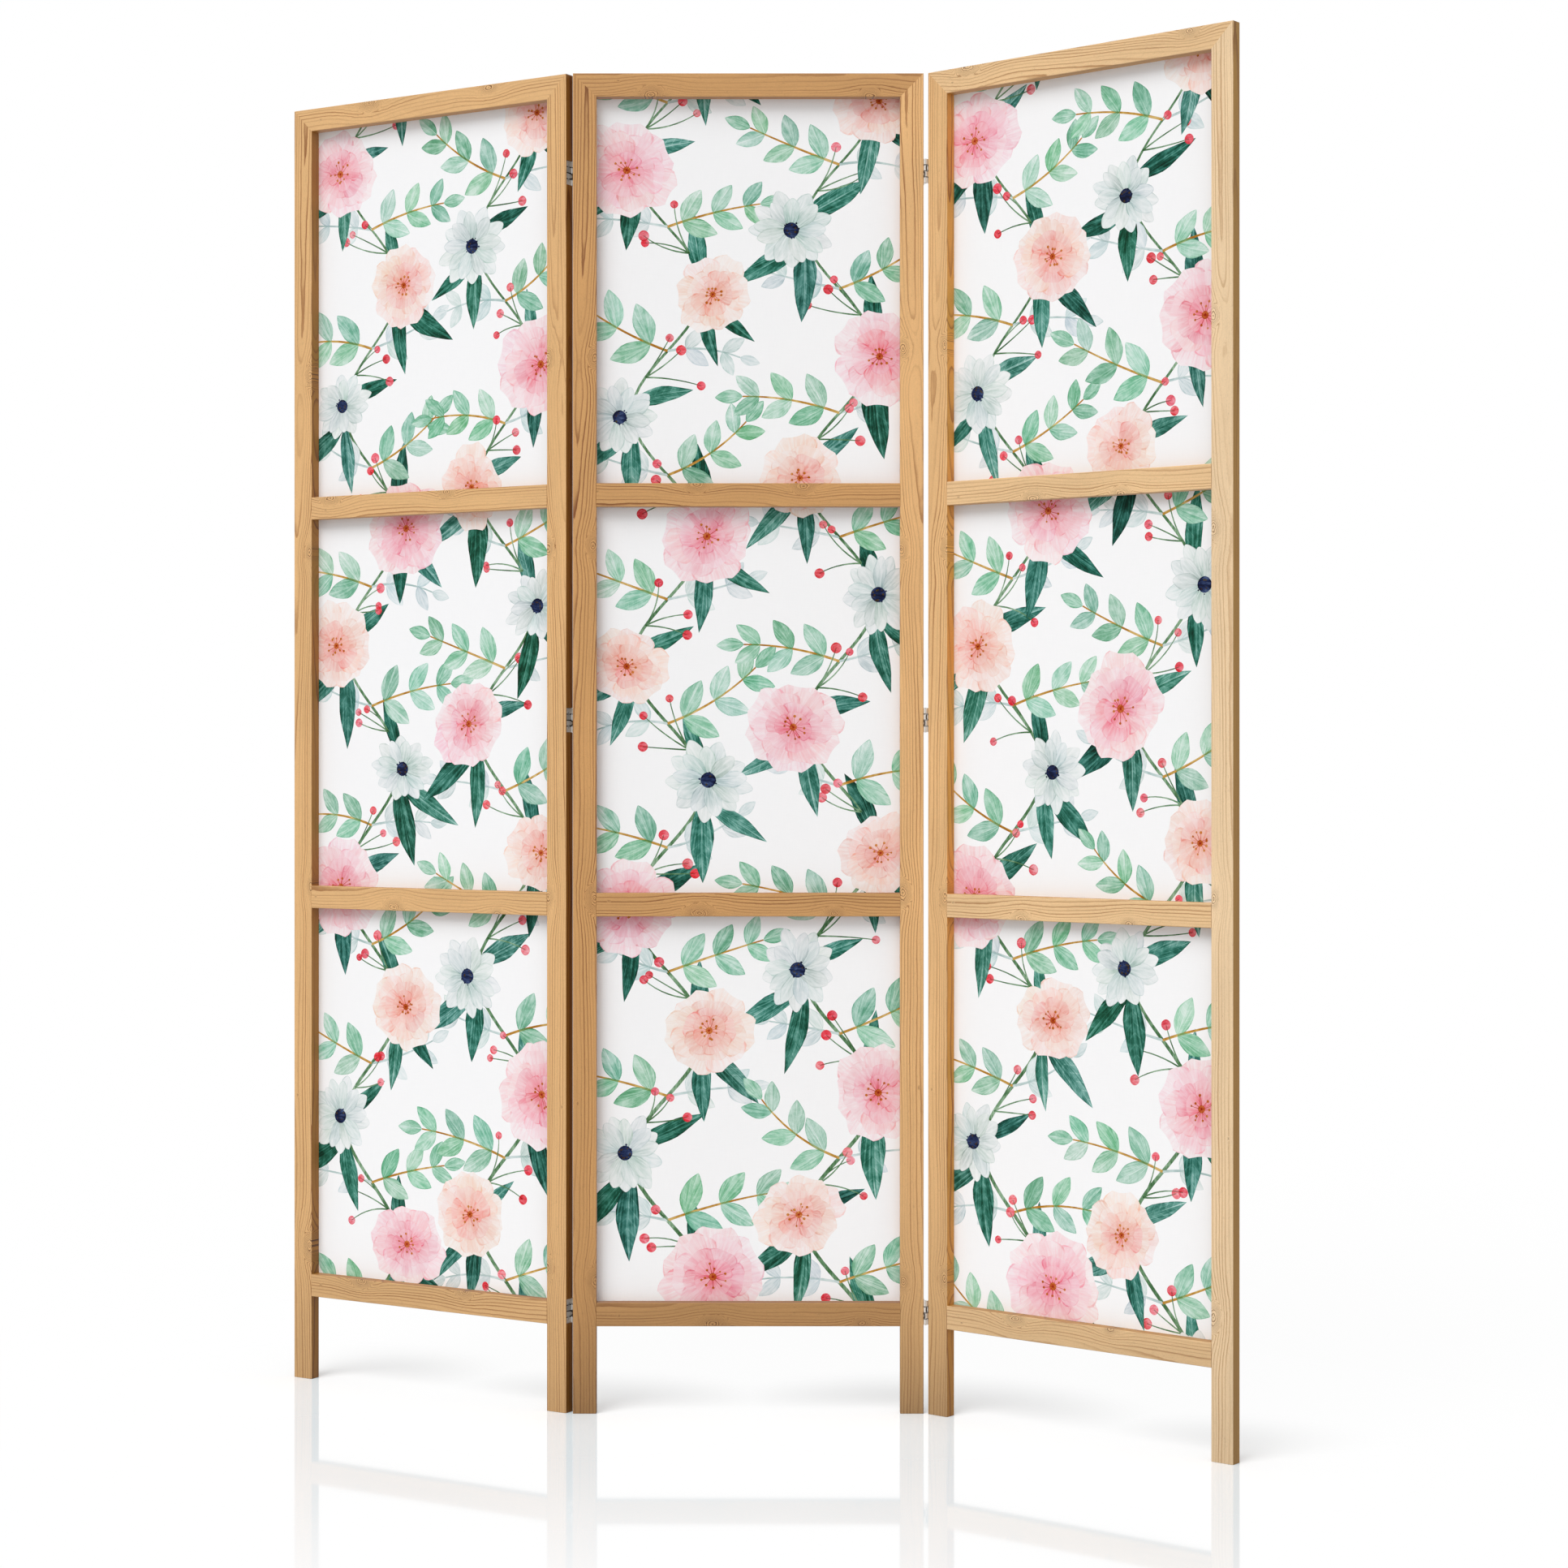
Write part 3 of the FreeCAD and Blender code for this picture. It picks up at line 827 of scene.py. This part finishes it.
def vine(chance, middle, height, phase, first):
    """A climbing stem that sways about middle, with leaves and blooms on alternate sides."""
    def sway(up):
        return middle + VINE_SWING_MM * math.sin(math.pi * up / VINE_PITCH_MM + phase)

    climb = [VINE_STEP_MM * i for i in range(-4, int(height / VINE_STEP_MM) + 6)]
    stems, leaves, blooms = [[stroke([(sway(up), up) for up in climb], 2.6, GREEN_STEM)]], [], []
    for k in range(-1, int(height / VINE_PITCH_MM) + 2):
        up = (k + 0.5 - phase / math.pi) * VINE_PITCH_MM
        side = 1 if math.sin(math.pi * up / VINE_PITCH_MM + phase) > 0 else -1
        outward = 0.0 if side > 0 else math.pi
        inward = math.pi - outward
        x = sway(up)
        bloom = (x + side * chance.uniform(4, 16), up + chance.uniform(-8, 8))
        kind = (k + first) % 3
        if kind == 0:
            blooms.append(rose(chance, bloom, chance.uniform(*ROSE_RADII_MM), ROSE_OUTER, ROSE_INNER))
        elif kind == 1:
            blooms.append(daisy(chance, bloom, chance.uniform(*DAISY_RADII_MM)))
        else:
            blooms.append(rose(chance, bloom, chance.uniform(*PEACH_RADII_MM), PEACH_OUTER, PEACH_INNER))
        lower, way = chance.uniform(*LOWER_LEAF_MM), outward - 1.1 * side
        leaves.append(leaf_fan(chance, (x, up - 20), way, lower, 2))
        upper, way = chance.uniform(*UPPER_LEAF_MM), inward - 0.9 * side
        leaves.append(leaf_fan(chance, (x, up + 12), way, upper, 1))
        between = up + 0.5 * VINE_PITCH_MM
        stem = (sway(between), between)
        sage, mist = chance.uniform(*SAGE_SPRIG_MM), chance.uniform(*MIST_SPRIG_MM)
        leaves.append(sprig(chance, stem, outward + 0.35 * side, sage, 3, SAGE_LEAF, OCHRE_STEM))
        stems.append(sprig(chance, stem, inward - 0.2 * side, mist, 2, MIST_LEAF, MIST_STEM))
        low = between - 34
        spray = chance.uniform(*BERRY_SPRAY_MM)
        leaves.append(berries(chance, (sway(low), low), inward - 0.5 * side, spray))
    return stems, leaves, blooms


def print_motifs(seed):
    """All of one canvas's motifs in painting order, and the bunch that each belongs to."""
    chance = random.Random(seed)
    width, height = CANVAS_WIDTH / MM, CANVAS_HEIGHT / MM
    stems, leaves, blooms = [], [], []
    for share, phase, first in ((0.26, 0.4, 0), (0.77, 2.1, 1)):
        parts = vine(chance, share * width, height, phase + chance.uniform(-0.3, 0.3), first)
        stems += parts[0]
        leaves += parts[1]
        blooms += parts[2]
    motifs, bunches = [], []
    for number, bunch in enumerate(stems + leaves + blooms):
        motifs += bunch
        bunches += [number] * len(bunch)
    return motifs, bunches


# How fine the sheet is cut where it is bare, how much of the print shows behind, and through a petal above.
GRID_MM = 18
BACK_STRIKE = 0.10
SHEER = 0.45

# What the print's shader is told of a motif: its frame, its form and its paint.
Shading = namedtuple("Shading", (
    "base_x base_y cosine sine length half_width bend peak roundness red green blue body base edge vein"
))
BARE_GROUND = Shading(
    base_x=0, base_y=0, cosine=1, sine=0, length=1, half_width=1, bend=0, peak=1, roundness=1,
    red=1, green=1, blue=1, body=0, base=0, edge=0, vein=0,
)


def shading_of(motifs):
    """The bare ground's shading and then each motif's, as one array for each value."""
    rows = [BARE_GROUND]
    for motif in motifs:
        paint = motif.paint
        rows.append(Shading(
            *motif.base, math.cos(motif.heading), math.sin(motif.heading), motif.length, motif.half_width,
            motif.bend, motif.peak, motif.roundness, *paint.pigment[:3],
            paint.body, paint.base, paint.edge, paint.vein,
        ))
    return Shading(*np.array(rows).T)


def picked(shading, numbers):
    """The shading of the motifs with these numbers."""
    return Shading(*(values[numbers] for values in shading))


def printed_plane(motifs):
    """Cuts a canvas along its motifs' outlines: points, triangles and the motifs that cover each one."""
    width, height = CANVAS_WIDTH / MM, CANVAS_HEIGHT / MM
    points = [Vector(corner) for corner in ((0, 0), (width, 0), (width, height), (0, height))]
    faces = [[0, 1, 2, 3]]
    for motif in motifs:
        faces.append(list(range(len(points), len(points) + len(motif.outline))))
        points += [Vector(point) for point in motif.outline]
    columns, rows = round(width / GRID_MM), round(height / GRID_MM)
    for i in range(columns + 1):
        for j in range(rows + 1):
            points.append(Vector((width * i / columns, height * j / rows)))
    found = delaunay_2d_cdt(points, [], faces, 1, 1e-4, True)
    flat, triangles, owners = found[0], found[2], found[5]
    inside = [(t, o) for t, o in zip(triangles, owners) if 0 in o]
    kept, covers = zip(*inside)
    return np.array([tuple(p) for p in flat]), np.array(kept), covers


def films_below(shading, covers, bunches):
    """What shows of the petals and leaves below a triangle's top one, of those in the same bunch."""
    pigments = np.stack([shading.red, shading.green, shading.blue], axis=1)
    below = np.ones((len(covers), 3))
    for film, cover in zip(below, covers):
        top = max(cover)
        for motif in cover:
            if 0 < motif < top and bunches[motif - 1] == bunches[top - 1]:
                film *= pigments[motif] ** (SHEER * shading.body[motif])
    return below


def open_edges(triangles):
    """The edges that only one triangle has, each in its triangle's direction."""
    directed = np.concatenate([triangles[:, [0, 1]], triangles[:, [1, 2]], triangles[:, [2, 0]]])
    known = {tuple(edge) for edge in directed.tolist()}
    return sorted(edge for edge in known if edge[::-1] not in known)


def motif_spots(points, shading):
    """Each point's place along and across its motif, and the motif's half-width."""
    x, y = points[:, 0] - shading.base_x, points[:, 1] - shading.base_y
    along = (x * shading.cosine + y * shading.sine) / shading.length
    aside = y * shading.cosine - x * shading.sine
    across = (aside - shading.bend * shading.length * along ** 2) / shading.half_width
    return np.stack([np.clip(along, 0, 1), across, shading.half_width], axis=1)


def set_vectors(mesh, name, domain, values):
    mesh.attributes.new(name, "FLOAT_VECTOR", domain).data.foreach_set("vector", values.ravel())


def canvas_mesh(name, seed):
    """A closed sheet: the printed front, the same faces behind with a faint strike-through, and the rim."""
    motifs, bunches = print_motifs(seed)
    flat, front, covers = printed_plane(motifs)
    used, front = np.unique(front, return_inverse=True)
    flat, front, count = flat[used], front.reshape(-1, 3), len(used)
    back = front[:, ::-1] + count
    walls = np.array([(j, i, i + count, j + count) for i, j in open_edges(front)])
    places = np.zeros((2 * count, 3))
    places[:, 0] = np.tile(flat[:, 0], 2) * MM
    places[:, 2] = np.tile(flat[:, 1], 2) * MM
    places[count:, 1] = CANVAS_THICKNESS
    mesh = bpy.data.meshes.new(name)
    mesh.from_pydata(places.tolist(), [], front.tolist() + back.tolist() + walls.tolist())
    mesh.validate()

    shading = shading_of(motifs)
    tops = np.array([max(cover) for cover in covers])
    films = films_below(shading, covers, bunches)
    below = np.concatenate([films, films ** BACK_STRIKE, np.ones((len(walls), 3))])
    strike = np.concatenate([np.ones(len(tops)), np.full(len(tops), BACK_STRIKE), np.ones(len(walls))])
    owners = np.concatenate([tops, tops, np.zeros(len(walls), int)])
    corners = np.concatenate([front.ravel(), back.ravel(), walls.ravel()])
    corner_counts = np.concatenate([np.full(2 * len(tops), 3), np.full(len(walls), 4)])
    at_corner = picked(shading, np.repeat(owners, corner_counts))
    at_face = picked(shading, owners)
    wash = np.stack([at_face.base, at_face.edge, at_face.vein], axis=1) * strike[:, None]
    form = np.stack([at_face.peak, at_face.roundness, at_face.body * strike], axis=1)
    pigment = np.stack([at_face.red, at_face.green, at_face.blue, np.ones(len(owners))], axis=1)
    set_vectors(mesh, "spot", "CORNER", motif_spots(flat[corners % count], at_corner))
    set_vectors(mesh, "wash", "FACE", wash)
    set_vectors(mesh, "form", "FACE", form)
    set_vectors(mesh, "below", "FACE", below)
    mesh.attributes.new("pigment", "FLOAT_COLOR", "FACE").data.foreach_set("color", pigment.ravel())
    return mesh


THREAD_MM = 0.9


def canvas_print(name, place, turn):
    """Matt woven canvas, with films of watercolour that a motif's paint lays thinner or thicker."""
    material = new_material(name)
    tree = material.node_tree
    x, _, z = local_mm(tree, place, turn)
    along, across, half_width = separated(attribute(tree, "spot"))
    peak, roundness, body = separated(attribute(tree, "form"))
    base, edge, vein = separated(attribute(tree, "wash"))
    pigment = attribute(tree, "pigment", "Color")

    aside = abs(across)
    widest = calculated("SINE", along ** peak * math.pi)
    reach = greatest(widest, 0.0) ** roundness
    to_edge = (reach - aside) * half_width
    rim = 1 - step_between(0.2, 2.2, to_edge)
    midrib = 1 - step_between(0.25, 0.9, aside * half_width)
    vein_phase = calculated("PINGPONG", along * 8 - aside * 1.1, 0.5)
    side_vein = (1 - step_between(0.03, 0.11, vein_phase)) * 0.5
    half_tone = step_between(-0.15, 0.15, across) * 0.45

    fan = across / (along + 0.3)
    wet = step_between(0.30, 0.70, noise(x * 0.06, z * 0.06, 1.5, detail=3, roughness=0.6))
    brush = noise(fan * half_width * 0.34, along * 1.6, half_width * 3.1, detail=3, roughness=0.65)
    paper = noise(x * 0.9, z * 0.9, 4.5, detail=2)
    veins = greatest(midrib, side_vein) + half_tone
    streak = step_between(0.34, 0.68, brush)
    density = body * (0.70 + 0.60 * streak) + base * (1 - along) ** 1.5 * (0.25 + 1.1 * streak)
    density = density + edge * rim * (0.3 + 0.9 * wet) + vein * veins
    density = density * (0.62 + 0.56 * wet + 0.10 * paper)

    warp = calculated("SINE", x * (math.pi / THREAD_MM))
    weft = calculated("SINE", z * (math.pi / THREAD_MM))
    weave = warp * weft
    slub = noise(x * 0.05, z * 1.1, 2.0) + noise(x * 1.1, z * 0.05, 6.0)
    ground = mixed(slub * 0.5, srgb(242, 242, 243), srgb(249, 249, 250))
    film = combined(tree, *(channel ** density for channel in separated(pigment)))
    colour = multiplied(multiplied(ground, film), attribute(tree, "below"))
    roughness = 0.82 + 0.1 * paper
    return coat_surface(material, colour, roughness, weave * 0.06 + slub * 0.05, 0.4, specular=0.2)


def hang_canvases():
    canvas_corner = Vector((CANVAS_LOW.x - STILE_LOW.x, SLAT_DEPTH, CANVAS_LOW.z))
    for seed, panel in enumerate(PANELS, start=1):
        name = f"{panel}_canvas_print"
        mesh = canvas_mesh(name, seed)
        piece = bpy.data.objects.new(name, mesh)
        bpy.context.scene.collection.objects.link(piece)
        place = PLACES[panel] @ Matrix.Translation(canvas_corner)
        mesh.transform(place)
        turn = PLACES[panel].to_euler().z
        mesh.materials.append(canvas_print(f"canvas_{panel}", place.translation, turn))
        piece.visible_glossy = False
        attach(piece, panel)
        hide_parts(f"{panel}_canvas")


# Stage, light and camera


def light_path_share(tree):
    """1 for rays from the camera or through gloss and glass, and 0 for the rays that carry light."""
    node = tree.nodes.new("ShaderNodeLightPath")
    kinds = ("Is Camera Ray", "Is Glossy Ray", "Is Transmission Ray")
    return greatest(*(Field(node.outputs[kind]) for kind in kinds))


def light_world(ambient):
    """A white surround to look at, and a softer even light to see by."""
    world = bpy.data.worlds.new("studio")
    bpy.context.scene.world = world
    world.use_nodes = True
    tree = world.node_tree
    background = tree.nodes["Background"]
    background.inputs["Color"].default_value = (1, 1, 1, 1)
    share = light_path_share(tree)
    feed(background.inputs["Strength"], ambient + share * (1 - ambient))


KEY_STRENGTH = 1.9
KEY_SOFTNESS_DEG = 40
KEY_FROM_LEFT_DEG = 36
KEY_UP_DEG = 50
FILL_STRENGTH = 0.48
FILL_SOFTNESS_DEG = 70
FILL_UP_DEG = 20
AMBIENT = 0.43


def lamp(name, strength, softness_deg, from_left_deg, up_deg):
    """A large soft lamp far off, in front of the screen."""
    data = bpy.data.lights.new(name, "SUN")
    data.energy = strength
    data.angle = math.radians(softness_deg)
    light = bpy.data.objects.new(name, data)
    bpy.context.scene.collection.objects.link(light)
    up, left = math.radians(up_deg), math.radians(from_left_deg)
    towards = Vector((-math.sin(left) * math.cos(up), -math.cos(left) * math.cos(up), math.sin(up)))
    light.rotation_mode = "QUATERNION"
    light.rotation_quaternion = towards.to_track_quat("Z", "Y")


def hang_lights():
    """A key from the upper left, a weak fill from in front and an even surround."""
    lamp("key", KEY_STRENGTH, KEY_SOFTNESS_DEG, KEY_FROM_LEFT_DEG, KEY_UP_DEG)
    lamp("fill", FILL_STRENGTH, FILL_SOFTNESS_DEG, 0, FILL_UP_DEG)
    light_world(AMBIENT)


FLOOR_HALF_WIDTH = 9.0
FLOOR_DROP = 0.0002
FLOOR_SHADE = 0.06
FLOOR_SHADE_AT_FEET = 1.0
FLOOR_SHADE_REACH = 0.30
FLOOR_GLOSS = (0.35, 0.28, 0.25)
FLOOR_GLOSS_REACH = (0.05, 1.15)
FLOOR_BOUNCE = 0.65
FLOOR_ROUGHNESS = 0.05


def floor_distances(tree):
    """How far a place on the floor is from the nearest foot, and from the nearest panel's line."""
    to_feet, to_panels = [], []
    for panel in PANELS:
        x, y, _ = local_mm(tree, PLACES[panel].translation, PLACES[panel].to_euler().z)
        ends = [abs(x - middle / MM) for middle in (SLAT_WIDTH / 2, PANEL_WIDTH - SLAT_WIDTH / 2)]
        past = greatest(abs(x - PANEL_WIDTH / 2 / MM) - PANEL_WIDTH / 2 / MM, 0.0)
        to_feet.append((least(*ends) ** 2 + y ** 2) ** 0.5 * MM)
        to_panels.append((past ** 2 + y ** 2) ** 0.5 * MM)
    return least(*to_feet), least(*to_panels)


def lay_floor():
    """A white floor with a faint reflection of the frames and a shadow, which fade away from the feet."""
    mesh = bpy.data.meshes.new("floor")
    half, level = FLOOR_HALF_WIDTH, -FLOOR_DROP
    corners = [(-half, -half, level), (half, -half, level), (half, half, level), (-half, half, level)]
    mesh.from_pydata(corners, [], [(0, 1, 2, 3)])
    floor = bpy.data.objects.new("floor", mesh)
    bpy.context.scene.collection.objects.link(floor)

    material = new_material("floor_white")
    tree = material.node_tree
    seen = light_path_share(tree)
    to_feet, to_panels = floor_distances(tree)
    near = seen * (1 - step_between(*FLOOR_GLOSS_REACH, to_panels))
    mirrored = [near * level for level in FLOOR_GLOSS]
    fade = step_between(0.0, FLOOR_SHADE_REACH, to_feet)
    shade = FLOOR_SHADE_AT_FEET + fade * (FLOOR_SHADE - FLOOR_SHADE_AT_FEET)
    shade = shade * (1 - near * max(FLOOR_GLOSS))
    key_share = KEY_STRENGTH * math.sin(math.radians(KEY_UP_DEG)) / math.pi
    fill_share = FILL_STRENGTH * math.sin(math.radians(FILL_UP_DEG)) / math.pi
    light = key_share + fill_share + AMBIENT
    matt = tree.nodes.new("ShaderNodeBsdfDiffuse")
    feed(matt.inputs["Color"], mixed(seen, (FLOOR_BOUNCE,) * 3 + (1,), combined(tree, shade, shade, shade)))
    glow = tree.nodes.new("ShaderNodeEmission")
    feed(glow.inputs["Color"], combined(tree, *(seen * (1 - shade * light - level) for level in mirrored)))
    gloss = tree.nodes.new("ShaderNodeBsdfGlossy")
    feed(gloss.inputs["Color"], combined(tree, *mirrored))
    gloss.inputs["Roughness"].default_value = FLOOR_ROUGHNESS
    lit = tree.nodes.new("ShaderNodeAddShader")
    both = tree.nodes.new("ShaderNodeAddShader")
    tree.links.new(matt.outputs[0], lit.inputs[0])
    tree.links.new(glow.outputs[0], lit.inputs[1])
    tree.links.new(lit.outputs[0], both.inputs[0])
    tree.links.new(gloss.outputs[0], both.inputs[1])
    output = tree.nodes.new("ShaderNodeOutputMaterial")
    tree.links.new(both.outputs[0], output.inputs["Surface"])
    mesh.materials.append(material)


def set_camera():
    data = bpy.data.cameras.new("photo_camera")
    data.sensor_width = SENSOR_MM
    data.lens = SENSOR_MM * FOCAL_PX / PHOTO_SIZE_PX
    data.shift_y = (HORIZON_PX - PHOTO_SIZE_PX / 2) / PHOTO_SIZE_PX
    camera = bpy.data.objects.new("photo_camera", data)
    camera.location = STILE_LOW + CAMERA_FROM_FOOT
    camera.rotation_euler = (math.pi / 2, 0, 0)
    bpy.context.scene.collection.objects.link(camera)
    bpy.context.scene.camera = camera


bpy.context.scene.view_settings.view_transform = "Standard"
dress_frames()
dress_metal()
drive_screws()
hang_canvases()
lay_floor()
hang_lights()
set_camera()
